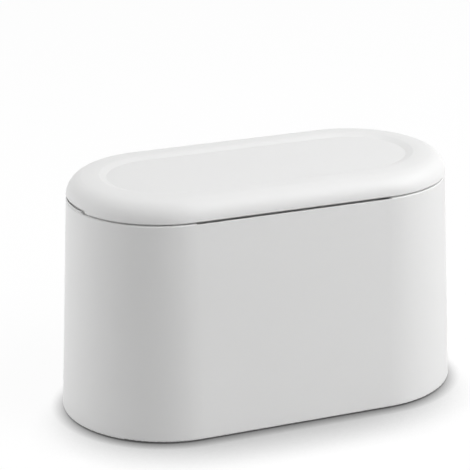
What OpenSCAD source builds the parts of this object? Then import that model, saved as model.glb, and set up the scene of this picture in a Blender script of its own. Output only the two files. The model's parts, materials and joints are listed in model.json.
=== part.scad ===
// Push top countertop bin, a stadium-shaped body with a sprung, push-to-open lid.
// +X runs along the length, -Y is the front, where the latch is, and +Y is the rear, where the hinges are.
// The origin is at the centre of the footprint, on the surface that the pads stand on.

/* [Body] */
// Half of the straight stretch between the two round ends
spine = 59; // [40:1:90]
// Radius of the round ends at the foot, where the body is widest
base_r = 61; // [56:0.5:72]
// Amount by which the body narrows on each side from the foot to the rim
taper = 5.7; // [1:0.1:9]
// Height of the rim above the surface that the bin stands on
rim_z = 127.5; // [110:0.1:160]
// Thickness of the body's wall
wall = 2.4; // [1.8:0.1:3.2]
// Thickness of the body's floor
floor_t = 2.8; // [2:0.1:4]
// Radius of the bottom edge
foot_round = 0.9; // [0.6:0.1:4]
// Width of the thick land at the rim, which the retaining ring sits on
land_w = 4.5; // [4:0.1:6]
// Depth of the thick land at the rim
land_h = 5; // [3:0.5:10]
// Amount by which the rim is lower along the straight front, where the lid is pressed
press_relief = 0.4; // [0.2:0.1:1]
// Drop from the rim to the back of the wall along the straight front, which has no land
front_drop = 1.8; // [1.2:0.1:3]

/* [Pads] */
// Radius of each foot pad
pad_r = 8; // [4:0.5:12]
// Height that a pad stands out of the floor
pad_proud = 0.8; // [0.5:0.1:2]
// Depth of the seat that a pad is stuck into
pad_seat = 0.8; // [0.4:0.1:1]
// Distance of the pads beyond the straight stretch, along the length
pad_out = 21; // [0:1:26]
// Distance of the pads from the middle, across the width
pad_y = 28; // [15:1:32]

/* [Retaining ring] */
// Clearance between the ring's outer edge and the lid round it
ring_gap = 0.4; // [0.3:0.05:0.8]
// Gap between the ring's skirt and the rim's land, where the bag is pinched
bag_gap = 1.5; // [0.8:0.1:2]
// Thickness of the flange
flange_t = 2; // [1.5:0.1:2.6]
// Thickness of the skirt that holds the bag against the body
skirt_t = 1.8; // [1.4:0.1:2.4]
// Length of the skirt below the flange
skirt_h = 16; // [10:0.5:24]
// Width of the finger tab at each end
tab_w = 29; // [16:1:36]
// Height of the finger tab's top above the rim
tab_t = 1.4; // [1.2:0.1:2]
// Gap for a fingernail between the tab's outer edge and the rim
tab_lift = 0.6; // [0.2:0.1:0.7]

/* [Lid] */
// Open seam between the body's rim and the lid's edge
seam = 0.9; // [0.9:0.1:2]
// Height of the lid from its edge to its top
lid_h = 12.5; // [12.5:0.1:16]
// Radius of the lid's rounded outer edge
lid_round = 11.5; // [9:0.1:11.5]
// Radius of the soft crown that the edge runs into
crown_r = 26; // [24:0.5:26]
// Distance of the crown's crest in from the lid's edge
crest_in = 15; // [12:0.5:15]
// Thickness of the lid
lid_t = 2.2; // [1.8:0.1:2.6]
// Width of the raised band round the lid's sunk panel
band_w = 19; // [16:0.5:24]
// Depth of the sunk panel
panel_d = 1.8; // [0.8:0.1:3]
// Run of the slope from the band down to the panel
panel_slope = 4.4; // [1.5:0.1:6]
// Width of the notch over each finger tab
notch_w = 35; // [18:1:44]
// Open slit between a finger tab and the top of its notch
notch_slit = 1.5; // [0.6:0.1:2]
// Depth of the lip under the lid
lip_h = 2.4; // [1:0.1:3]
// Thickness of the lip under the lid
lip_t = 1.3; // [1:0.1:2]

/* [Hinges] */
// Distance of each hinge's middle from the end of the straight stretch
hinge_in = 14; // [14:0.5:24]
// Distance of the hinge axis in from the rim's rear edge
axis_in = 0.3; // [0:0.05:0.4]
// Height of the hinge axis above the rim
axis_up = 0.7; // [0.5:0.05:0.8]
// Radius of the hinge knuckles
knuckle_r = 2.2; // [2:0.1:2.3]
// Radius of the steel hinge pin
pin_r = 1; // [0.8:0.05:1.1]
// Half of the width of a whole hinge
hinge_half = 12; // [11:0.5:14]
// Length of each knuckle on the ring
ring_knuckle = 4; // [3:0.5:5]
// Length of each knuckle on the lid
lid_knuckle = 3; // [2.5:0.5:4]
// Thickness of the leaf that is screwed to the lid
leaf_t = 2; // [1.6:0.1:2.4]
// Reach of the leaf in front of the hinge axis
leaf_reach = 18; // [15:0.5:20]

/* [Springs] */
// Wire diameter of the lid springs
spring_wire = 0.7; // [0.5:0.05:0.8]
// Turns of each lid spring
spring_turns = 6; // [4:1:6]
// Wire diameter of the latch spring
latch_wire = 0.5; // [0.4:0.05:0.5]
// Radius of the latch spring, to the middle of its wire
latch_spring_r = 2.4; // [2:0.1:2.8]
// Turns of the latch spring
latch_turns = 5; // [3:1:5]

/* [Latch] */
// Half of the width of the latch housing
latch_half_w = 9; // [8.6:0.1:10]
// Half of the depth of the latch housing
latch_half_d = 6.2; // [6:0.1:7]
// Depth that the housing hangs below the rim
latch_drop = 34; // [32:0.5:40]
// Wall of the latch housing
latch_wall = 1.5; // [1.2:0.1:1.8]
// Upward travel of the latch from latched to released
latch_travel = 3; // [2:0.1:3.5]
// Radius of the pins that the jaws turn on
jaw_pin_r = 1.2; // [1:0.05:1.4]
// Half of the width of the striker's head
striker_half = 3.3; // [3:0.1:3.4]

/* [Screws] */
// Radius of the screw shanks
screw_r = 1; // [0.8:0.05:1.1]
// Radius of the screw heads
screw_head_r = 2.1; // [1.8:0.1:2.4]
// Height of the screw heads
screw_head_h = 1.4; // [1:0.1:1.6]
// Radius of the bosses that the screws bite into
boss_r = 2.75; // [2.4:0.05:3]

/* [Hidden] */
$fn = 96;
white = [0.94, 0.94, 0.94];
soft_white = [0.88, 0.88, 0.88];
steel = [0.62, 0.63, 0.65];
grey = [0.35, 0.36, 0.38];

// Clearances
run = 0.05;        // round a pin that turns
slip = 0.3;        // between plastic pieces that move past each other
knuckle_gap = 0.3; // between neighbouring knuckles, along the pin
well_gap = 0.4;    // round the hinge knuckles, in the body and in the lid
leaf_gap = 0.5;    // between a hinge leaf and the ring under it
eps = 0.01;        // overlap of shapes that are cut or fused

// Small bevel on outer edges
edge = 0.5;

// Levels and radii
rim_r = base_r - taper;
foot_z = pad_proud;
floor_z = foot_z + floor_t;
lid_edge_z = rim_z + seam;
lid_z = lid_edge_z + lid_h;
lid_under_z = lid_z - lid_t;
flange_z = rim_z + flange_t;
land_in = rim_r - land_w;
skirt_r = land_in - bag_gap;
mouth_r = skirt_r - skirt_t;
draft = atan(taper / rim_z);

// Radius of the body's outer face at a height
function outer_r(z) = base_r - z * tan(draft);
// Radius of its inner face at a height
function inner_r(z) = outer_r(z) - wall / cos(draft);

// Lid outline
band_r = rim_r - band_w;
panel_r = band_r - panel_slope;
panel_under_z = lid_under_z - panel_d;
crown_c = [rim_r - crest_in, lid_z - crown_r];
crown_lean = asin((crest_in - lid_round) / (crown_r - lid_round));
round_c = crown_c + (crown_r - lid_round) * [sin(crown_lean), cos(crown_lean)];
skirt_in = rim_r - lid_t;
ring_r = skirt_in - ring_gap;
notch_z = rim_z + tab_t + notch_slit;
slope_len = sqrt(pow(panel_slope, 2) + pow(panel_d, 2));
under_shift = lid_t * (slope_len - panel_slope) / panel_d;

// Height of the crown at a radius, and of the same curve moved in by the lid's thickness
function crown_z(r, inset) = crown_c[1] + sqrt(pow(crown_r - inset, 2) - pow(r - crown_c[0], 2));
// How far back the lid's hollow reaches at a height
function hollow_y(z) = round_c[0] + sqrt(pow(lid_round - lid_t, 2) - pow(z - round_c[1], 2));

pad_x = spine + pad_out;

// Hinge
hinge_x = spine - hinge_in;
axis_y = rim_r - axis_in;
axis_z = rim_z + axis_up;
lid_ear_in = hinge_half - ring_knuckle - knuckle_gap - lid_knuckle;
lid_ear_out = lid_ear_in + lid_knuckle;
well_half = hinge_half + 1;
well_z = axis_z - knuckle_r - well_gap;
well_y = axis_y - knuckle_r - well_gap;
lid_well_z = axis_z + knuckle_r + well_gap;
flange_cut_y = axis_y - knuckle_r - 1;
boss_h = 4.2;
leaf_top_z = lid_under_z - boss_h;
leaf_z = leaf_top_z - leaf_t;
leaf_back_y = hollow_y(leaf_top_z) - slip;
leaf_screw_x = hinge_half - 2;
leaf_screw_y = axis_y - leaf_reach + 5;
screw_bite = 2.8;
screw_play = 0.2;

// Torsion spring: both legs leave towards the lid's front, the lower to the ring and the upper to the leaf
coil_r = pin_r + 0.35 + spring_wire / 2;
coil_half = lid_ear_in - knuckle_gap - spring_wire / 2;
ring_leg_tilt = 25;
ring_leg_len = 6.6;
lid_leg_len = 12.5;
// The upper leg's tilt brings its end up to the leaf
coil_out_r = coil_r + spring_wire / 2;
lid_leg_tilt = asin((leaf_z - axis_z) / norm([coil_out_r, lid_leg_len])) - atan(coil_out_r / lid_leg_len);
leg_slot_d = 1.1;

// Latch
latch_y = -mouth_r + latch_half_d;
housing_z = rim_z - latch_drop;
pocket_roof = 1.8;
roof_z = flange_z - pocket_roof;
housing_top_z = roof_z - slip;
jaw_z = rim_z - 16.3;
jaw_open = 8;
jaw_x = 4.9;
jaw_half_t = 2.9;
jaw_in = 4.1;
jaw_out = 5.4;
jaw_bump = 6.6;
hook_in = 2.2;
hook_z = jaw_z + 12.3;
hook_h = 2.5;
bump_z = hook_z - 0.8;
jaw_reach = jaw_bump * cos(jaw_open) + (hook_z + hook_h - jaw_z) * sin(jaw_open) + slip;
closer_z = bump_z + 0.5;
closer_gap = 0.4;
closer_h = 3.2;
cheek_t = 1.2;
cheek_in = jaw_half_t + 0.3;
shoulder_z = hook_z - 1.3;
head_h = 3.5;
stem_half = 1.2;
cavity_w = latch_half_w - latch_wall;
cavity_d = latch_half_d - latch_wall;
cover_t = 1.2;
cover_screw_r = 0.7;
cover_screw_bite = 3;
cover_screw_x = latch_half_w - 1.7;
cover_screw_z = housing_z + 2.2;
block_z = jaw_z - 10;
block_top_z = jaw_z - 2.2;
block_half_w = 3.9;
spring_seat_z = housing_z + latch_wall;
pocket_gap = 0.3;
pocket_t = 1.6;
pocket_z = rim_z - 14;
snap_z = pocket_z + 4.3;
snap_w = 5;
snap_h = 3.1;
snap_reach = 1.2;
cam_r = 0.45;
cam_x = 2;
cam_y = latch_y - cavity_d + 0.65;
cam_foot_z = housing_z + 4;
cam_tip_z = block_z + 4.6;
groove_d = 1.3;
block_front_y = cam_y + cam_r + slip;
striker_screw_x = 6;

// ---------------------------------------------------------------------------
// Shared shapes
// ---------------------------------------------------------------------------

// Sweeps a profile, drawn as radius against height, round the stadium
module sweep() {
  for (side = [-1, 1])
    translate([side * spine, 0, 0])
      rotate([0, 0, -side * 90])
        rotate_extrude(angle = 180) children();
  rotate([90, 0, 90])
    linear_extrude(height = 2 * spine, center = true) {
      children();
      mirror([1, 0]) children();
    }
}

// Extrudes an outline, drawn as Y against Z, along X between two places
module along_x(from, to) {
  translate([from, 0, 0])
    rotate([90, 0, 90])
      linear_extrude(height = to - from) children();
}

// Extrudes an outline, drawn as X against Z, along Y about a middle
module along_y(middle, thick) {
  translate([0, middle + thick / 2, 0])
    rotate([90, 0, 0])
      linear_extrude(height = thick) children();
}

// A box from its low corner to its high corner
module box(low, high) {
  translate(low) cube(high - low);
}

// A rod along X
module rod_x(from, to, y, z, r) {
  translate([from, y, z])
    rotate([0, 90, 0])
      cylinder(r = r, h = to - from);
}

// Cross section of a wire's ring, with its middle at p and its plane square to d
function ring_at(p, d, r, sides) =
  let (t = d / norm(d),
       a = abs(t[2]) < 0.9 ? [0, 0, 1] : [1, 0, 0],
       u = cross(a, t) / norm(cross(a, t)),
       v = cross(t, u))
  [for (i = [0 : sides - 1]) p + r * (cos(360 * i / sides) * u + sin(360 * i / sides) * v)];

// Direction of a path at one of its points
function heading(path, i) =
  let (n = len(path) - 1)
  path[min(i + 1, n)] - path[max(i - 1, 0)];

// A wire of six sides along a path, as one closed mesh of triangles
module wire(path, r) {
  sides = 6;
  last = len(path) - 1;
  rings = [for (i = [0 : last]) each ring_at(path[i], heading(path, i), r, sides)];
  points = concat(rings, [path[0], path[last]]);
  first_cap = len(rings);
  walls = [
    for (i = [0 : last - 1], k = [0 : sides - 1])
      let (a = i * sides + k, b = i * sides + (k + 1) % sides)
      each [[a, a + sides, b], [b, a + sides, b + sides]]
  ];
  caps = [
    for (k = [0 : sides - 1])
      let (n = (k + 1) % sides, e = last * sides)
      each [[first_cap, k, n], [first_cap + 1, e + n, e + k]]
  ];
  polyhedron(points = points, faces = concat(walls, caps), convexity = 10);
}

// ---------------------------------------------------------------------------
// Body
// ---------------------------------------------------------------------------

// Outline with a rounded foot and straight, drafted sides
module drafted(bottom_z, top_z, inset, fillet) {
  line_r = base_r - inset / cos(draft);
  foot_r = line_r - bottom_z * tan(draft);
  centre_x = foot_r - fillet * (1 + sin(draft)) / cos(draft);
  centre = [centre_x, bottom_z + fillet];
  polygon([
    [0, bottom_z],
    [centre_x, bottom_z],
    centre + fillet * [cos(draft), sin(draft)],
    [line_r - top_z * tan(draft), top_z],
    [0, top_z]
  ]);
  translate(centre) circle(r = fillet);
}

module body_outline() {
  land_z = rim_z - land_h;
  difference() {
    intersection() {
      drafted(foot_z, rim_z, 0, foot_round);
      polygon([
        [0, 0], [base_r, 0], [base_r, rim_z - edge - taper],
        [rim_r, rim_z - edge], [rim_r - edge, rim_z], [0, rim_z]
      ]);
    }
    difference() {
      drafted(floor_z, rim_z + 1, wall, foot_round + 2);
      polygon([
        [land_in, rim_z + 2], [land_in, land_z],
        [inner_r(land_z) + 1, land_z - (inner_r(land_z) + 1 - land_in)],
        [base_r, land_z], [base_r, rim_z + 2]
      ]);
    }
  }
}

// Along the straight front the rim is lower, slopes down behind its edge, and has no land
module front_relief() {
  edge_w = 0.8;
  wall_y = wall - edge / 2 - rim_r;
  land_y = 1 - land_in;
  under_z = rim_z - land_h - land_w;
  along_x(-spine, spine)
    polygon([
      [-base_r, rim_z + 1], [-base_r, rim_z - press_relief], [edge_w - rim_r, rim_z - press_relief],
      [wall_y, rim_z - front_drop], [eps - inner_r(under_z), under_z],
      [land_y, under_z], [land_y, rim_z + 1]
    ]);
}

// Room for one hinge in the rim
module hinge_well(side) {
  box([side * hinge_x - well_half, well_y, well_z], [side * hinge_x + well_half, base_r, rim_z + 1]);
  // The lid spring's lower leg passes over the rim here
  box([side * hinge_x - coil_half - spring_wire, land_in - 1, well_z],
      [side * hinge_x + coil_half + spring_wire, base_r, rim_z + 1]);
}

module body_shell() {
  color(white)
    difference() {
      sweep() body_outline();
      front_relief();
      for (side = [-1, 1]) hinge_well(side);
      for (x = [-pad_x, pad_x], y = [-pad_y, pad_y])
        translate([x, y, foot_z - 1]) cylinder(r = pad_r + slip, h = pad_seat + 1);
    }
}

module foot_pads() {
  bevel = 0.4;
  color(grey)
    for (x = [-pad_x, pad_x], y = [-pad_y, pad_y])
      translate([x, y, 0]) {
        cylinder(r1 = pad_r - bevel, r2 = pad_r, h = bevel);
        translate([0, 0, bevel]) cylinder(r = pad_r, h = foot_z + pad_seat - bevel);
      }
}

// ---------------------------------------------------------------------------
// Retaining ring
// ---------------------------------------------------------------------------

module ring_outline() {
  nose = flange_t / 2;
  low_z = rim_z - skirt_h;
  polygon([
    [mouth_r, low_z + edge], [mouth_r + edge, low_z], [skirt_r - edge, low_z],
    [skirt_r, low_z + edge], [skirt_r, rim_z], [ring_r, rim_z],
    [ring_r, flange_z - edge], [ring_r - edge, flange_z],
    [mouth_r + nose, flange_z], [mouth_r, flange_z - nose]
  ]);
  intersection() {
    translate([mouth_r + nose, flange_z - nose]) circle(r = nose);
    translate([mouth_r, flange_z - nose]) square([nose, nose]);
  }
}

// Finger tab at each end, for lifting the ring and lid off together
module tabs() {
  bevel = 0.3;
  undercut = 0.8;
  slope = 1.5;
  sink = 0.1;
  web_t = tab_lift - sink;
  top_z = rim_z + tab_t;
  web_z = rim_z + web_t;
  intersection() {
    // A lip along the outer edge, undercut for a fingernail, with a channel behind it
    sweep()
      polygon([
        [skirt_r, rim_z], [rim_r - undercut, rim_z], [rim_r - undercut, rim_z + tab_lift],
        [rim_r, rim_z + tab_lift], [rim_r, top_z - bevel], [rim_r - bevel, top_z],
        [rim_r - bevel - slope * (tab_t - web_t), web_z], [skirt_r, web_z]
      ]);
    for (side = [-1, 1])
      translate([side * (spine + rim_r), 0, rim_z]) cube([rim_r, tab_w, 2 * tab_t + eps], center = true);
  }
}

// Pocket at the front that holds the latch: its outside, or its hollow
module latch_pocket(grow) {
  hollow = grow == 0;
  half_w = latch_half_w + pocket_gap + grow;
  box([-half_w, hollow ? -mouth_r : -mouth_r - eps, hollow ? pocket_z - 1 : pocket_z],
      [half_w, latch_y + latch_half_d + pocket_gap + grow, hollow ? roof_z : flange_z]);
}

module hinge_knuckles() {
  for (side = [-1, 1], end = [-1, 1]) {
    middle = side * hinge_x + end * (hinge_half - ring_knuckle / 2);
    low = middle - ring_knuckle / 2;
    high = middle + ring_knuckle / 2;
    rod_x(low, high, axis_y, axis_z, knuckle_r);
    box([low, skirt_r, rim_z], [high, axis_y, flange_z]);
  }
}

// Cuts in the ring for one hinge
module ring_hinge_cuts() {
  rod_x(-hinge_half - 1, hinge_half + 1, axis_y, axis_z, pin_r + run);
  // Room for the lid's knuckles and the spring between the ring's own
  box([-lid_ear_out - knuckle_gap, flange_cut_y, rim_z - 1],
      [lid_ear_out + knuckle_gap, base_r, flange_z + 1]);
  // Slot that the spring's lower leg hooks into: right through outside the skirt, and blind over it
  box([-coil_half - spring_wire, skirt_r, rim_z - 1], [-coil_half + spring_wire, base_r, flange_z + 1]);
  box([-coil_half - spring_wire, mouth_r - 1, flange_z - leg_slot_d],
      [-coil_half + spring_wire, base_r, flange_z + 1]);
}

module bag_retaining_ring() {
  color(soft_white)
    difference() {
      union() {
        sweep() ring_outline();
        tabs();
        latch_pocket(pocket_t);
        hinge_knuckles();
      }
      // The latch is pushed in from below
      latch_pocket(0);
      // Slot for the striker and the jaws
      box([-jaw_reach, latch_y - cheek_in - cheek_t - slip, roof_z - 1],
          [jaw_reach, latch_y + cheek_in + cheek_t + slip, flange_z + 1]);
      // Windows for the housing's snaps
      for (side = [-1, 1])
        translate([side * (latch_half_w + pocket_t), latch_y, snap_z + snap_h / 2])
          cube([2 * pocket_t + 1, snap_w + 2 * slip, snap_h + 3 * slip], center = true);
      for (side = [-1, 1])
        translate([side * hinge_x, 0, 0]) ring_hinge_cuts();
    }
}

// ---------------------------------------------------------------------------
// Lid
// ---------------------------------------------------------------------------

// Upper part of the lid's section: the rounded edge and the crown, moved in by an amount
module crown(inset) {
  translate(round_c)
    intersection() {
      circle(r = lid_round - inset);
      square([lid_round, lid_round]);
    }
  intersection() {
    translate(crown_c) circle(r = crown_r - inset);
    polygon([
      [band_r, round_c[1]], round_c, round_c + (lid_round + 1) * [sin(crown_lean), cos(crown_lean)],
      [band_r, lid_z + 1]
    ]);
  }
}

module lid_outline() {
  under_r = band_r + under_shift;
  difference() {
    union() {
      polygon([
        [0, lid_edge_z], [rim_r - edge, lid_edge_z], [rim_r, lid_edge_z + edge], [rim_r, round_c[1]],
        [band_r, round_c[1]], [band_r, crown_z(band_r, 0)],
        [panel_r, lid_z - panel_d], [0, lid_z - panel_d]
      ]);
      crown(0);
    }
    difference() {
      union() {
        polygon([
          [0, lid_edge_z - 1], [skirt_in, lid_edge_z - 1], [skirt_in, round_c[1]], [under_r, round_c[1]],
          [under_r, crown_z(under_r, lid_t)], [panel_r + under_shift, panel_under_z], [0, panel_under_z]
        ]);
        crown(lid_t);
      }
      polygon([
        [under_r, crown_z(under_r, lid_t)], [panel_r + under_shift, panel_under_z], [0, panel_under_z],
        [0, lid_z], [under_r, lid_z]
      ]);
    }
  }
  // Lip on the underside
  translate([round_c[0] - lip_t, lid_under_z - lip_h]) square([lip_t, lip_h + eps]);
}

module boss(x, y) {
  translate([x, y, leaf_top_z]) cylinder(r = boss_r, h = boss_h + eps);
}

module pilot(x, y) {
  translate([x, y, leaf_top_z - 1]) cylinder(r = screw_r + run, h = screw_bite + slip + 1);
}

module lid_shell() {
  color(white)
    difference() {
      union() {
        sweep() lid_outline();
        for (side = [-1, 1], end = [-1, 1]) boss(side * hinge_x + end * leaf_screw_x, leaf_screw_y);
        for (side = [-1, 1]) boss(side * striker_screw_x, latch_y);
      }
      for (side = [-1, 1], end = [-1, 1]) pilot(side * hinge_x + end * leaf_screw_x, leaf_screw_y);
      for (side = [-1, 1]) pilot(side * striker_screw_x, latch_y);
      // Notch over each finger tab
      for (side = [-1, 1])
        translate([side * (spine + rim_r), 0, notch_z - 5])
          cube([rim_r, notch_w, 10], center = true);
      // Room for the hinges in the lid's rear edge
      for (side = [-1, 1])
        box([side * hinge_x - well_half, skirt_in - 1, lid_edge_z - 1],
            [side * hinge_x + well_half, base_r, lid_well_z]);
    }
}

// Triangular arm from the leaf down to one of the lid's knuckles
module leaf_arm(from, to) {
  foot_w = 6;
  neck_y = flange_cut_y + slip;
  over_ring_z = flange_z + leaf_gap;
  difference() {
    union() {
      along_x(from, to)
        polygon([
          [axis_y - leaf_reach, leaf_top_z], [axis_y - leaf_reach, leaf_z], [neck_y - foot_w, over_ring_z],
          [neck_y, over_ring_z], [neck_y + 0.6, axis_z - knuckle_r * 0.6],
          [axis_y, axis_z], [axis_y, axis_z + knuckle_r],
          [hollow_y(axis_z + knuckle_r) - slip, axis_z + knuckle_r],
          [hollow_y(leaf_z) - slip, leaf_z], [leaf_back_y, leaf_top_z]
        ]);
      rod_x(from, to, axis_y, axis_z, knuckle_r);
    }
    rod_x(from - 1, to + 1, axis_y, axis_z, pin_r + run);
  }
}

module hinge_leaf(side) {
  color(soft_white)
    translate([side * hinge_x, 0, 0]) {
      difference() {
        union() {
          box([-leaf_screw_x - boss_r, leaf_screw_y - boss_r, leaf_z],
              [leaf_screw_x + boss_r, leaf_screw_y + boss_r, leaf_top_z]);
          box([-lid_ear_out, axis_y - leaf_reach, leaf_z], [lid_ear_out, leaf_back_y, leaf_top_z]);
        }
        for (end = [-1, 1])
          translate([end * leaf_screw_x, leaf_screw_y, leaf_z - 1])
            cylinder(r = screw_r + screw_play, h = leaf_t + 2);
      }
      leaf_arm(lid_ear_in, lid_ear_out);
      leaf_arm(-lid_ear_out, -lid_ear_in);
    }
}

// A cross-head screw that points up through a leaf or the striker, into its boss
module screw(x, y) {
  cross_w = 0.5;
  color(steel)
    translate([x, y, leaf_z]) {
      difference() {
        translate([0, 0, -screw_head_h])
          cylinder(r1 = screw_head_r - edge, r2 = screw_head_r, h = screw_head_h);
        for (turn = [0, 90])
          rotate([0, 0, turn])
            translate([0, 0, -screw_head_h]) cube([screw_head_r, cross_w, screw_head_h], center = true);
      }
      cylinder(r = screw_r, h = leaf_t + screw_bite);
    }
}

module hinge_leaf_screws() {
  for (side = [-1, 1], end = [-1, 1])
    screw(side * hinge_x + end * leaf_screw_x, leaf_screw_y);
}

module hinge_pin(side) {
  overhang = 0.4;
  color(steel)
    rod_x(side * hinge_x - hinge_half - overhang, side * hinge_x + hinge_half + overhang,
          axis_y, axis_z, pin_r);
}

// A point on the lid spring's coil, or at the end of a leg
function coil_point(x, turn) = [x, axis_y + coil_r * cos(turn), axis_z + coil_r * sin(turn)];

// The spring's path: its lower leg, its turns, and its upper leg
function lid_spring_path(side) =
  let (x0 = side * hinge_x,
       start = -90 - ring_leg_tilt,
       finish = 90 - lid_leg_tilt + 360 * spring_turns,
       steps = 8 * spring_turns + 4,
       in_dir = [0, cos(ring_leg_tilt), -sin(ring_leg_tilt)],
       out_dir = [0, -cos(lid_leg_tilt), sin(lid_leg_tilt)],
       coil = [for (i = [0 : steps])
         coil_point(x0 - coil_half + 2 * coil_half * i / steps, start + (finish - start) * i / steps)])
  concat([coil[0] - ring_leg_len * in_dir, coil[0] - spring_wire * in_dir],
         coil,
         [coil[steps] + spring_wire * out_dir, coil[steps] + lid_leg_len * out_dir]);

module hinge_spring(side) {
  color(steel) wire(lid_spring_path(side), spring_wire / 2);
}

// Least distance between points of a path that are most of a turn apart
function least_gap(path, apart, thick) =
  let (last = len(path) - 1)
  min([for (i = [0 : last - apart], k = [i + apart : last]) norm(path[i] - path[k])]) - thick;

echo(lid_spring_gap = least_gap(lid_spring_path(1), 6, spring_wire));

// ---------------------------------------------------------------------------
// Striker
// ---------------------------------------------------------------------------

module lid_striker() {
  plate_half_w = striker_screw_x + boss_r;
  color(grey) {
    difference() {
      box([-plate_half_w, latch_y - boss_r, leaf_z], [plate_half_w, latch_y + boss_r, leaf_top_z]);
      for (side = [-1, 1])
        translate([side * striker_screw_x, latch_y, leaf_z - 1])
          cylinder(r = screw_r + screw_play, h = leaf_t + 2);
    }
    along_y(latch_y, 2 * jaw_half_t)
      polygon([
        [-stem_half, leaf_z + eps], [-stem_half, shoulder_z], [-striker_half, shoulder_z],
        [-striker_half, shoulder_z - head_h / 3], [-stem_half, shoulder_z - head_h],
        [stem_half, shoulder_z - head_h], [striker_half, shoulder_z - head_h / 3],
        [striker_half, shoulder_z], [stem_half, shoulder_z], [stem_half, leaf_z + eps]
      ]);
  }
}

module striker_screws() {
  for (side = [-1, 1]) screw(side * striker_screw_x, latch_y);
}

// ---------------------------------------------------------------------------
// Latch
// ---------------------------------------------------------------------------

module latch_housing() {
  closer_w = jaw_bump + closer_gap;
  color(soft_white)
    difference() {
      union() {
        box([-latch_half_w, latch_y - latch_half_d, housing_z],
            [latch_half_w, latch_y + latch_half_d - cover_t, housing_top_z]);
        // Snaps that catch in the pocket's windows
        for (side = [-1, 1])
          along_y(latch_y, snap_w)
            polygon([
              [side * (latch_half_w - 1), snap_z],
              [side * latch_half_w, snap_z],
              [side * (latch_half_w + snap_reach), snap_z + snap_h * 0.2],
              [side * (latch_half_w + snap_reach), snap_z + snap_h * 0.4],
              [side * latch_half_w, snap_z + snap_h],
              [side * (latch_half_w - 1), snap_z + snap_h]
            ]);
      }
      // Cavity, open to the cover and at the top
      box([-cavity_w, latch_y - cavity_d, spring_seat_z],
          [cavity_w, latch_y + latch_half_d, closer_z - closer_h]);
      // Narrow mouth that closes the jaws as they are drawn in
      box([-closer_w, latch_y - cavity_d, spring_seat_z],
          [closer_w, latch_y + latch_half_d, housing_top_z + 1]);
      // Above the mouth the jaws spread to both sides
      box([-latch_half_w - 1, latch_y - cavity_d, closer_z],
          [latch_half_w + 1, latch_y + latch_half_d, housing_top_z + 1]);
      // Hole for the foot of the cam pin
      translate([cam_x, latch_y - latch_half_d - 1, cam_foot_z])
        rotate([-90, 0, 0]) cylinder(r = cam_r + run, h = latch_wall + 2);
      cover_screw_holes(cover_screw_r + run, cover_screw_bite + 1);
    }
}

module cover_screw_holes(r, depth) {
  for (side = [-1, 1])
    translate([side * cover_screw_x, latch_y + latch_half_d - cover_t - depth, cover_screw_z])
      rotate([-90, 0, 0]) cylinder(r = r, h = depth + cover_t + 1);
}

module latch_cover() {
  color(soft_white)
    difference() {
      box([-latch_half_w, latch_y + latch_half_d - cover_t, housing_z],
          [latch_half_w, latch_y + latch_half_d, housing_top_z]);
      cover_screw_holes(cover_screw_r + screw_play, 1);
    }
}

module latch_cover_screws() {
  head_r = 1.4;
  head_h = 0.7;
  color(steel)
    for (side = [-1, 1])
      translate([side * cover_screw_x, latch_y + latch_half_d, cover_screw_z])
        rotate([-90, 0, 0]) {
          translate([0, 0, -cover_t - cover_screw_bite])
            cylinder(r = cover_screw_r, h = cover_t + cover_screw_bite);
          cylinder(r1 = head_r, r2 = head_r - 0.4, h = head_h);
        }
}

// Sliding block with two cheeks that carry the jaws, and a rod that the spring goes round
module latch_plunger() {
  groove_low = cam_tip_z - latch_travel - 1;
  groove_high = cam_tip_z + 1.8;
  bridge_h = 1.4;
  guide_r = 1.5;
  guide_h = 3;
  color(grey)
    difference() {
      union() {
        box([-block_half_w, block_front_y, block_z],
            [block_half_w, latch_y + cheek_in + cheek_t, block_top_z]);
        box([-block_half_w, latch_y - cheek_in - cheek_t, block_top_z - bridge_h],
            [block_half_w, latch_y + cheek_in + cheek_t, block_top_z]);
        for (end = [-1, 1])
          translate([0, latch_y + end * (cheek_in + cheek_t / 2), (block_top_z + jaw_z + 2) / 2])
            cube([2 * (jaw_x + jaw_pin_r + edge), cheek_t, jaw_z + 2 - block_top_z + 2 * eps],
                 center = true);
        translate([0, latch_y, block_z - guide_h]) cylinder(r = guide_r, h = guide_h + eps);
      }
      // Jaw pin holes
      for (side = [-1, 1])
        translate([side * jaw_x, latch_y - 10, jaw_z])
          rotate([-90, 0, 0]) cylinder(r = jaw_pin_r + run, h = 20);
      // Heart-shaped groove that the cam pin runs round
      difference() {
        box([-cam_x - 2 * cam_r, block_front_y - 1, groove_low],
            [cam_x + 2 * cam_r, block_front_y + groove_d, groove_high]);
        along_y(block_front_y + groove_d / 2, groove_d + 2 * eps)
          polygon([[0, groove_low + 2.6], [1, groove_low + 4.2], [0.6, groove_low + 5],
                   [0, groove_low + 4.5], [-0.6, groove_low + 5], [-1, groove_low + 4.2]]);
      }
    }
}

// One jaw, drawn on the right and mirrored for the left
module jaw(side) {
  foot_r = jaw_pin_r + 0.9;
  color(white)
    difference() {
      union() {
        along_y(latch_y, 2 * jaw_half_t)
          polygon([
            [side * jaw_in, jaw_z], [side * jaw_in, hook_z], [side * hook_in, hook_z],
            [side * hook_in, hook_z + hook_h * 0.4], [side * (hook_in + 1.2), hook_z + hook_h],
            [side * jaw_bump, hook_z + hook_h], [side * jaw_bump, bump_z],
            [side * jaw_out, hook_z - 2.2], [side * jaw_out, jaw_z]
          ]);
        translate([side * jaw_x, latch_y - jaw_half_t, jaw_z])
          rotate([-90, 0, 0]) cylinder(r = foot_r, h = 2 * jaw_half_t);
      }
      translate([side * jaw_x, latch_y - 10, jaw_z])
        rotate([-90, 0, 0]) cylinder(r = jaw_pin_r + run, h = 20);
    }
}

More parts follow.
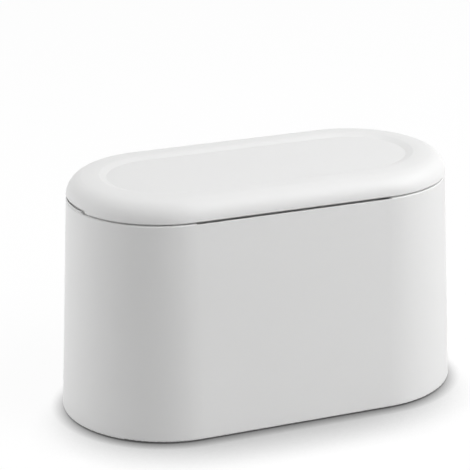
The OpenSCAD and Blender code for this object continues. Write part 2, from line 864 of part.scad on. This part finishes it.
module latch_jaw_pins() {
  color(steel)
    for (side = [-1, 1])
      translate([side * jaw_x, latch_y - cheek_in - cheek_t, jaw_z])
        rotate([-90, 0, 0]) cylinder(r = jaw_pin_r, h = 2 * (cheek_in + cheek_t));
}

// A bent steel wire: its foot is in the housing's wall and its tip is in the plunger's groove
module latch_cam_pin() {
  foot_y = latch_y - latch_half_d + slip;
  color(steel) {
    translate([cam_x, cam_y, cam_foot_z]) cylinder(r = cam_r, h = cam_tip_z - cam_foot_z);
    for (z = [cam_foot_z, cam_tip_z])
      translate([cam_x, cam_y, z]) sphere(r = cam_r);
    translate([cam_x, foot_y, cam_foot_z])
      rotate([-90, 0, 0]) cylinder(r = cam_r, h = cam_y - foot_y);
    translate([cam_x, cam_y, cam_tip_z])
      rotate([-90, 0, 0]) cylinder(r = cam_r, h = block_front_y + groove_d - 0.4 - cam_y);
  }
}

// The latch spring's path: straight ends that turn out of a helix
function latch_spring_path() =
  let (steps = 8 * latch_turns,
       r = latch_spring_r,
       w = latch_wire / 2,
       low = spring_seat_z + slip / 2 + w,
       high = block_z - slip / 2 - w,
       lead = latch_wire,
       coil = [for (i = [0 : steps])
         let (a = 360 * latch_turns * i / steps)
         [r * cos(a), latch_y + r * sin(a), low + (high - low) * i / steps]])
  concat([coil[0] - [0, lead, 0]], coil, [coil[steps] + [0, lead, 0]]);

module latch_spring() {
  color(steel) wire(latch_spring_path(), latch_wire / 2);
}

echo(latch_spring_gap = least_gap(latch_spring_path(), 6, latch_wire));

body_shell();
foot_pads();
bag_retaining_ring();
latch_housing();
latch_cover();
latch_cover_screws();
latch_cam_pin();
latch_spring();
latch_plunger();
latch_jaw_pins();
jaw(-1);  // latch_jaw_left
jaw(1);  // latch_jaw_right
hinge_pin(-1);  // hinge_pin_left
hinge_pin(1);  // hinge_pin_right
hinge_spring(-1);  // hinge_spring_left
hinge_spring(1);  // hinge_spring_right
lid_shell();
hinge_leaf(-1);  // hinge_leaf_left
hinge_leaf(1);  // hinge_leaf_right
hinge_leaf_screws();
lid_striker();
striker_screws();
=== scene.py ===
"""Looks of the push top countertop bin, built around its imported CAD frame."""

import json
import math

import bmesh
import bpy
from mathutils import Matrix, Vector


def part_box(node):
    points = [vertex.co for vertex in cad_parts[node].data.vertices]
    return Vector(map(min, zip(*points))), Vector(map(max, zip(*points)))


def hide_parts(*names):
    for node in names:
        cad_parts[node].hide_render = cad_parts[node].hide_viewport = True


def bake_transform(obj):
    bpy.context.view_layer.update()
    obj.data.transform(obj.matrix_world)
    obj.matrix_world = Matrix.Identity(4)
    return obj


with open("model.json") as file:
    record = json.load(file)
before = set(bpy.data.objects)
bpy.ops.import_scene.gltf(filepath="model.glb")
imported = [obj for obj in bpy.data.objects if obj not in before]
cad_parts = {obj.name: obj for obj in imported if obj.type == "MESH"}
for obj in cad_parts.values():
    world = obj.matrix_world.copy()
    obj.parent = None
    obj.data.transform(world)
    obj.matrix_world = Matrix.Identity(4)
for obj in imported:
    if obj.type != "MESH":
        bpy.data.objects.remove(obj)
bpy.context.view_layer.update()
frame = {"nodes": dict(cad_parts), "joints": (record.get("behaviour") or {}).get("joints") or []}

MM = 0.001

# ---------------------------------------------------------------------------
# Camera
# ---------------------------------------------------------------------------

FRAME_PX = 470                # width and height of the picture
CAMERA_AT = Vector((-0.4234, -1.0252, 0.48675))
CAMERA_TARGET = Vector((0.0, 0.0, 0.06485))
TARGET_PX = (258.56, 283.72)  # where the target lands in the picture, from its top left corner
FOCAL_PX = 2007.0             # focal length, in pixels of the picture
SENSOR_MM = 36.0


def make_camera():
    cam = bpy.data.cameras.new("camera")
    cam.sensor_width = SENSOR_MM
    cam.lens = FOCAL_PX / FRAME_PX * SENSOR_MM
    cam.clip_start = 0.01
    cam.clip_end = 50.0
    obj = bpy.data.objects.new("camera", cam)
    bpy.context.scene.collection.objects.link(obj)
    back = (CAMERA_AT - CAMERA_TARGET).normalized()
    right = Vector((0, 0, 1)).cross(back).normalized()
    up = back.cross(right)
    look = Matrix((right, up, back)).transposed()
    aim = Vector((TARGET_PX[0] - FRAME_PX / 2, FRAME_PX / 2 - TARGET_PX[1], -FOCAL_PX)).normalized()
    turn = Vector((0, 0, -1)).rotation_difference(aim).to_matrix()
    obj.matrix_world = Matrix.Translation(CAMERA_AT) @ (look @ turn.inverted()).to_4x4()
    bpy.context.scene.camera = obj


# ---------------------------------------------------------------------------
# Materials
# ---------------------------------------------------------------------------


class Nodes:
    """The node tree of a material or a world, with a short call to add and link nodes."""

    def __init__(self, tree):
        self.tree = tree
        tree.nodes.clear()

    def add(self, kind, inputs=None, **values):
        """Adds a node. An input is linked where it is given a socket, and set where it is given a value."""
        node = self.tree.nodes.new(kind)
        for name, value in values.items():
            setattr(node, name, value)
        for name, value in (inputs or {}).items():
            if isinstance(value, bpy.types.NodeSocket):
                self.tree.links.new(value, node.inputs[name])
            else:
                node.inputs[name].default_value = value
        return node


def blank(name):
    mat = bpy.data.materials.new(name)
    mat.use_nodes = True
    return mat, Nodes(mat.node_tree)


def grey(value, warmth=0.0):
    """A grey. Warmth is the share of its blue that is taken out."""
    return (value, value, value * (1 - warmth), 1.0)


def moulded(name, color, roughness, spread=0.05, shade=0.02, grain=2600.0, depth=0.05):
    """Moulded plastic or rubber: a slow change of tone, and a fine spark-eroded grain in gloss and bump."""
    mat, n = blank(name)
    where = n.add("ShaderNodeTexCoord").outputs["Object"]
    slow = n.add("ShaderNodeTexNoise", {"Vector": where, "Scale": 16.0, "Detail": 2.0})
    fine = n.add("ShaderNodeTexNoise", {"Vector": where, "Scale": grain, "Detail": 3.0, "Roughness": 0.6})
    dark = tuple(c * (1 - shade) for c in color[:3]) + (1.0,)
    # Sockets 6 and 7 of a colour mix are its two colours, and output 2 is its result
    tone = n.add("ShaderNodeMix", {0: slow.outputs["Fac"], 6: dark, 7: color}, data_type="RGBA")
    gloss = n.add("ShaderNodeMapRange", {
        "Value": fine.outputs["Fac"], "From Min": 0.3, "From Max": 0.7,
        "To Min": roughness - spread, "To Max": roughness + spread})
    bump = n.add("ShaderNodeBump", {
        "Height": fine.outputs["Fac"], "Strength": depth, "Distance": 0.2 * MM})
    shader = n.add("ShaderNodeBsdfPrincipled", {
        "Base Color": tone.outputs[2], "Roughness": gloss.outputs["Result"],
        "Normal": bump.outputs["Normal"], "IOR": 1.46})
    n.add("ShaderNodeOutputMaterial", {"Surface": shader.outputs["BSDF"]})
    return mat


def drawn_steel(name, color, smooth, rough):
    """Bright drawn steel: lengthwise scratches, with a roughness from smooth to rough."""
    mat, n = blank(name)
    where = n.add("ShaderNodeTexCoord").outputs["Object"]
    along = n.add("ShaderNodeMapping", {"Vector": where, "Scale": (300.0, 6000.0, 6000.0)})
    scratch = n.add("ShaderNodeTexNoise", {"Vector": along.outputs["Vector"], "Scale": 1.0, "Detail": 2.0})
    gloss = n.add("ShaderNodeMapRange", {
        "Value": scratch.outputs["Fac"], "To Min": smooth, "To Max": rough})
    bump = n.add("ShaderNodeBump", {
        "Height": scratch.outputs["Fac"], "Strength": 0.1, "Distance": 0.05 * MM})
    shader = n.add("ShaderNodeBsdfPrincipled", {
        "Base Color": color, "Metallic": 1.0, "Roughness": gloss.outputs["Result"],
        "Normal": bump.outputs["Normal"]})
    n.add("ShaderNodeOutputMaterial", {"Surface": shader.outputs["BSDF"]})
    return mat


SHELL = moulded("moulded_white", grey(0.84, 0.004), 0.42)
TRIM = moulded("moulded_trim", grey(0.80, 0.004), 0.48)
ACETAL = moulded("moulded_acetal", (0.09, 0.095, 0.1, 1.0), 0.38, shade=0.1)
RUBBER = moulded("soft_rubber", (0.035, 0.035, 0.037, 1.0), 0.8, shade=0.15, grain=1500.0, depth=0.3)
STEEL = drawn_steel("drawn_steel", (0.56, 0.57, 0.58, 1.0), 0.2, 0.38)

# Every node that isn't named here is steel
LOOKS = {
    "body_shell": SHELL, "lid_shell": SHELL, "foot_pads": RUBBER,
    "bag_retaining_ring": TRIM, "latch_housing": TRIM, "latch_cover": TRIM,
    "hinge_leaf_left": TRIM, "hinge_leaf_right": TRIM,
    "latch_jaw_left": TRIM, "latch_jaw_right": TRIM,
    "lid_striker": ACETAL, "latch_plunger": ACETAL,
}


def dress(obj, mat):
    obj.data.materials.clear()
    obj.data.materials.append(mat)


# ---------------------------------------------------------------------------
# Springs
# ---------------------------------------------------------------------------

WIRE_SIDES = 12
WIRE_DOME = [(0.0, 1.0), (0.3, 0.87), (0.5, 0.6)]  # rings of a wire's end: how far out and how wide, in radii
STEPS_PER_TURN = 28


def tube(name, points, radius, mat):
    """A round wire along a path, with its ends closed by low domes."""
    last = len(points) - 1
    bm = bmesh.new()
    rings = []
    normal = None
    for i, p in enumerate(points):
        heading = (points[min(i + 1, last)] - points[max(i - 1, 0)]).normalized()
        if normal is None:
            normal = heading.orthogonal()
        normal = (normal - heading * normal.dot(heading)).normalized()
        side = heading.cross(normal)
        rounds = [(0.0, 1.0)]
        if i == 0:
            rounds = [(-out, size) for out, size in reversed(WIRE_DOME)]
        if i == last:
            rounds = WIRE_DOME
        for out, size in rounds:
            rings.append([
                bm.verts.new(p + heading * out * radius
                             + size * radius * (math.cos(t) * normal + math.sin(t) * side))
                for t in (2 * math.pi * k / WIRE_SIDES for k in range(WIRE_SIDES))])
    for low, high in zip(rings, rings[1:]):
        for k in range(WIRE_SIDES):
            m = (k + 1) % WIRE_SIDES
            bm.faces.new((low[k], low[m], high[m], high[k]))
    bm.faces.new(rings[0][::-1])
    bm.faces.new(rings[-1])
    bmesh.ops.recalc_face_normals(bm, faces=bm.faces)
    mesh = bpy.data.meshes.new(name)
    bm.to_mesh(mesh)
    bm.free()
    for face in mesh.polygons:
        face.use_smooth = True
    obj = bpy.data.objects.new(name, mesh)
    bpy.context.scene.collection.objects.link(obj)
    dress(obj, mat)
    return obj


LID_WIRE = 0.7 * MM
LID_COIL_R = 1.7 * MM         # radius of the coil, to the middle of its wire
LID_COIL_HALF = 4.05 * MM     # half of its length along the hinge pin
LID_COIL_TURNS = 6
RING_LEG = (25, 6.6 * MM)     # tilt in degrees, and length, of the leg that is hooked on the ring
LID_LEG = (10.53, 12.5 * MM)  # the same for the leg that lies under the leaf
HINGE_AXIS = next(joint["pos_m"] for joint in frame["joints"] if joint["name"] == "lid_hinge")


def lid_spring(node):
    """A torsion spring: its lower leg is hooked on the ring and its upper leg lies under the leaf."""
    low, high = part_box(node)
    middle = (low.x + high.x) / 2
    axis_y, axis_z = HINGE_AXIS[1], HINGE_AXIS[2]
    start = math.radians(-90 - RING_LEG[0])
    finish = math.radians(90 - LID_LEG[0] + 360 * LID_COIL_TURNS)
    steps = STEPS_PER_TURN * LID_COIL_TURNS
    coil = []
    for i in range(steps + 1):
        turn = start + (finish - start) * i / steps
        coil.append(Vector((middle - LID_COIL_HALF + 2 * LID_COIL_HALF * i / steps,
                            axis_y + LID_COIL_R * math.cos(turn), axis_z + LID_COIL_R * math.sin(turn))))

    def leg(end, tilt, length):
        """Three points of a straight leg that leaves an end of the coil towards the front."""
        away = Vector((0, -math.cos(math.radians(tilt)), math.sin(math.radians(tilt))))
        return [end + away * reach for reach in (LID_WIRE, length / 2, length)]

    path = leg(coil[0], *RING_LEG)[::-1] + coil + leg(coil[-1], *LID_LEG)
    spring = tube(node.replace("hinge_spring", "torsion_spring"), path, LID_WIRE / 2, STEEL)
    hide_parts(node)
    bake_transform(spring)


LATCH_WIRE = 0.5 * MM
LATCH_COIL_TURNS = 5
LATCH_COIL_CLOSING = 0.5      # how flat its end turns lie: 0 is an even coil, and 1 is level at the very ends


def latch_spring():
    """A compression spring between the housing's floor and the plunger, with closer turns at its ends."""
    low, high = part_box("latch_spring")
    x, y = (low.x + high.x) / 2, (low.y + high.y) / 2
    coil_r = (high.x - low.x - LATCH_WIRE) / 2
    foot, head = low.z + LATCH_WIRE / 2, high.z - LATCH_WIRE / 2
    steps = STEPS_PER_TURN * LATCH_COIL_TURNS
    path = []
    for i in range(steps + 1):
        t = i / steps
        turn = 2 * math.pi * LATCH_COIL_TURNS * t
        rise = t - math.sin(2 * math.pi * t) / (2 * math.pi) * LATCH_COIL_CLOSING
        path.append(Vector((x + coil_r * math.cos(turn), y + coil_r * math.sin(turn),
                            foot + (head - foot) * rise)))
    spring = tube("compression_spring", path, LATCH_WIRE / 2, STEEL)
    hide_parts("latch_spring")
    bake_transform(spring)


# ---------------------------------------------------------------------------
# Floor, backdrop and light
# ---------------------------------------------------------------------------


def math_node(n, operation, a, b, **values):
    return n.add("ShaderNodeMath", {0: a, 1: b}, operation=operation, **values).outputs[0]


def seen_directly(n):
    """1 for what the camera sees, also in a mirror or through glass, and 0 for light that falls on things."""
    path = n.add("ShaderNodeLightPath")
    both = math_node(n, "MAXIMUM", path.outputs["Is Camera Ray"], path.outputs["Is Glossy Ray"])
    return math_node(n, "MAXIMUM", both, path.outputs["Is Transmission Ray"])


FLOOR_HALF = 6.0         # half of the floor's width, in metres
FLOOR_COLOR = 0.55       # its colour for the light that it throws back on the object
FLOOR_SEEN = 0.08        # how much of the lamps' light and shadows the camera sees on it
FLOOR_LIFT = 0.93        # what the camera sees on top of that, so that the floor reads as white paper
SHADOW_SIDE = (0.254, 0.698, 0.669)  # the side from which light would come, which the floor's painted shadow stands in for
SHADOW_REACH = 0.062     # how far from the object that shadow goes, in metres
SHADOW_GAIN = 1.36       # how soon the shadow's outer part clears to white
CONTACT_REACH = 0.008    # how far from the object its dark edge goes, in metres
CONTACT_POWER = 0.9      # how dark that edge is
SHADOW_SAMPLES = 16


def open_share(n, reach, side):
    """How open the floor is towards a side, past what stands within reach: the mask of its painted shadow."""
    return n.add("ShaderNodeAmbientOcclusion", {"Distance": reach, "Normal": side},
                 samples=SHADOW_SAMPLES).outputs["AO"]


def make_floor():
    mesh = bpy.data.meshes.new("floor")
    corners = [(x * FLOOR_HALF, y * FLOOR_HALF, 0) for x, y in ((-1, -1), (1, -1), (1, 1), (-1, 1))]
    mesh.from_pydata(corners, [], [(0, 1, 2, 3)])
    floor = bpy.data.objects.new("floor", mesh)
    bpy.context.scene.collection.objects.link(floor)
    mat, n = blank("floor")
    matt = n.add("ShaderNodeBsdfDiffuse", {"Color": grey(FLOOR_COLOR)})
    side = n.add("ShaderNodeCombineXYZ", dict(zip("XYZ", Vector(SHADOW_SIDE).normalized()))).outputs[0]
    # Painted shadow: the glow that the camera sees on the floor is darkened where the object stands towards
    # SHADOW_SIDE and close by, while the lamps cast only a faint real shadow through FLOOR_SEEN
    soft = math_node(n, "MULTIPLY", open_share(n, SHADOW_REACH, side), SHADOW_GAIN, use_clamp=True)
    edge = math_node(n, "POWER", open_share(n, CONTACT_REACH, side), CONTACT_POWER)
    unshaded = math_node(n, "MULTIPLY", soft, edge)
    lift = n.add("ShaderNodeEmission", {
        "Color": grey(1.0), "Strength": math_node(n, "MULTIPLY", unshaded, FLOOR_LIFT)})
    seen = n.add("ShaderNodeBsdfDiffuse", {"Color": grey(FLOOR_SEEN)})
    lifted = n.add("ShaderNodeAddShader", {0: seen.outputs[0], 1: lift.outputs[0]})
    mixed = n.add("ShaderNodeMixShader", {0: seen_directly(n), 1: matt.outputs[0], 2: lifted.outputs[0]})
    n.add("ShaderNodeOutputMaterial", {"Surface": mixed.outputs[0]})
    mesh.materials.append(mat)


WORLD_LIGHT = 0.2        # strength of the even light from all round, which the camera sees as white


def make_world():
    world = bpy.data.worlds.new("studio")
    world.use_nodes = True
    bpy.context.scene.world = world
    n = Nodes(world.node_tree)
    light = n.add("ShaderNodeBackground", {"Color": grey(1.0), "Strength": WORLD_LIGHT})
    white = n.add("ShaderNodeBackground", {"Color": grey(1.0), "Strength": 1.0})
    mixed = n.add("ShaderNodeMixShader", {0: seen_directly(n), 1: light.outputs[0], 2: white.outputs[0]})
    n.add("ShaderNodeOutputWorld", {"Surface": mixed.outputs[0]})


# Softboxes: name, azimuth from the front towards the right, elevation, and power in watts
LAMPS = [
    ("key", 45, 32, 15.5),
    ("key_high", 60, 45, 12.5),
    ("top", 50, 65, 5.0),
    ("front", 10, 50, 2.6),
    ("rear_left", -110, 12, 22.0),
    ("rear_right", 150, 65, 4.0),
]
UNMIRRORED = "rear_left"  # low and strong, it would glare on the lid in a view from the right
LAMP_DISTANCE = 2.0       # in metres, as is the size
LAMP_SIZE = 1.2
LAMP_TARGET = Vector((0, 0, 0.07))


def make_lamps():
    for name, azimuth, elevation, power in LAMPS:
        lamp = bpy.data.lights.new(name, "AREA")
        lamp.shape = "SQUARE"
        lamp.size = LAMP_SIZE
        lamp.energy = power
        obj = bpy.data.objects.new(name, lamp)
        obj.visible_glossy = name != UNMIRRORED
        a, e = math.radians(azimuth), math.radians(elevation)
        away = Vector((math.sin(a) * math.cos(e), -math.cos(a) * math.cos(e), math.sin(e)))
        obj.location = LAMP_TARGET + LAMP_DISTANCE * away
        obj.rotation_euler = away.to_track_quat("Z", "Y").to_euler()
        bpy.context.scene.collection.objects.link(obj)


# ---------------------------------------------------------------------------
# The scene
# ---------------------------------------------------------------------------

make_camera()
make_floor()
make_world()
make_lamps()
bpy.context.scene.view_settings.view_transform = "Standard"

for node, obj in frame["nodes"].items():
    dress(obj, LOOKS.get(node, STEEL))
lid_spring("hinge_spring_left")
lid_spring("hinge_spring_right")
latch_spring()
